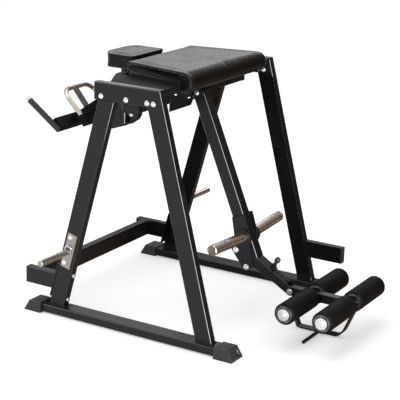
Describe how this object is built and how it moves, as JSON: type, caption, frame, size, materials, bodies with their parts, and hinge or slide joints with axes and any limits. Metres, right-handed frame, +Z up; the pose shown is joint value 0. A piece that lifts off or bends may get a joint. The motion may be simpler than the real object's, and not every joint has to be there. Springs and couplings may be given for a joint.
{
  "type": "reverse hyperextension machine",
  "caption": "Twin A-frame bench with padded top, weighted pendulum, sliding leg arm and foam ankle rollers for back extension exercise",
  "frame": {"origin": "on the floor, at the middle of the part's overall length and width", "axes": "+X toward the leg rollers, +Y toward the side with the stub on its front leg, +Z up"},
  "size_m": [1.706, 1.45, 1.177],
  "materials": {
    "frame": "satin powder coat",
    "leather": "pebbled synthetic leather",
    "foam": "dull foam skin",
    "rubber": "moulded rubber",
    "plastic": "matte",
    "grip": "smooth grip rubber",
    "chrome": "polished",
    "zinc": "bright zinc",
    "wood": "raw plywood"
  },
  "bodies": {
    "frame": {"base_rail_far": "frame", "base_rail_near": "frame", "boot_front_far": "rubber", "boot_front_near": "rubber", "boot_rear_far": "rubber", "boot_rear_near": "rubber", "carriage": "frame", "front_cross_tube": "frame", "front_leg_far": "frame", "front_leg_near": "frame", "front_stub": "frame", "front_stub_cap": "plastic", "grip_far": "grip", "grip_near": "grip", "handle_arm": "frame", "handle_bar": "frame", "handle_loop": "chrome", "head_pad": "leather", "head_pad_plate": "frame", "head_pad_post": "frame", "head_spine": "frame", "loop_bar": "frame", "main_cross_beam": "frame", "main_pad": "leather", "pad_board": "wood", "pivot_bracket": "frame", "pivot_pin": "zinc", "rear_cross_beam": "frame", "rear_crossbar": "frame", "rear_leg_far": "frame", "rear_leg_near": "frame", "rear_stub_cap_far": "plastic", "rear_stub_cap_near": "plastic", "rear_stub_far": "frame", "rear_stub_near": "frame", "top_beam_far": "frame", "top_beam_near": "frame", "top_deck": "frame", "weight_horn_far": "chrome", "weight_horn_near": "chrome"},
    "pendulum": {"pendulum_tube": "frame", "side_plate_near": "frame", "side_plate_far": "frame", "weight_sleeve_near": "chrome", "weight_sleeve_far": "chrome", "arm_sleeve": "frame", "pin_housing": "frame", "leg_arm": "frame", "lower_pivot_pin": "zinc"},
    "spring_pin": {"spring_pin": "plastic"},
    "roller_frame": {"roller_bar": "frame", "foot_bar": "frame", "foot_rod": "frame", "axle_left": "zinc", "axle_right": "zinc"},
    "roller_left_near": {"roller_left_near": "foam"},
    "roller_left_far": {"roller_left_far": "foam"},
    "roller_right_near": {"roller_right_near": "foam"},
    "roller_right_far": {"roller_right_far": "foam"}
  },
  "joints": [
    {"name": "pendulum_swing", "type": "hinge", "parent": "frame", "child": "pendulum", "pos_m": [0.00754, 0, 1.022], "axis": [0, -1, 0], "range_deg": [0, 70]},
    {"name": "spring_pin_pull", "type": "slide", "parent": "pendulum", "child": "spring_pin", "axis": [0.497, 0, 0.8678], "range_m": [0, 0.012], "stiffness_N_per_m": 500},
    {"name": "roller_frame_tilt", "type": "hinge", "parent": "pendulum", "child": "roller_frame", "pos_m": [0.51684, 0, 0.16951], "axis": [0, -1, 0], "range_deg": [0, 55]},
    {"name": "roller_left_near_spin", "type": "hinge", "parent": "roller_frame", "child": "roller_left_near", "pos_m": [0.62354, -0.156, 0.167], "axis": [0, 1, 0], "continuous": true},
    {"name": "roller_left_far_spin", "type": "hinge", "parent": "roller_frame", "child": "roller_left_far", "pos_m": [0.62354, 0.156, 0.167], "axis": [0, 1, 0], "continuous": true},
    {"name": "roller_right_near_spin", "type": "hinge", "parent": "roller_frame", "child": "roller_right_near", "pos_m": [0.80454, -0.156, 0.167], "axis": [0, 1, 0], "continuous": true},
    {"name": "roller_right_far_spin", "type": "hinge", "parent": "roller_frame", "child": "roller_right_far", "pos_m": [0.80454, 0.156, 0.167], "axis": [0, 1, 0], "continuous": true}
  ]
}
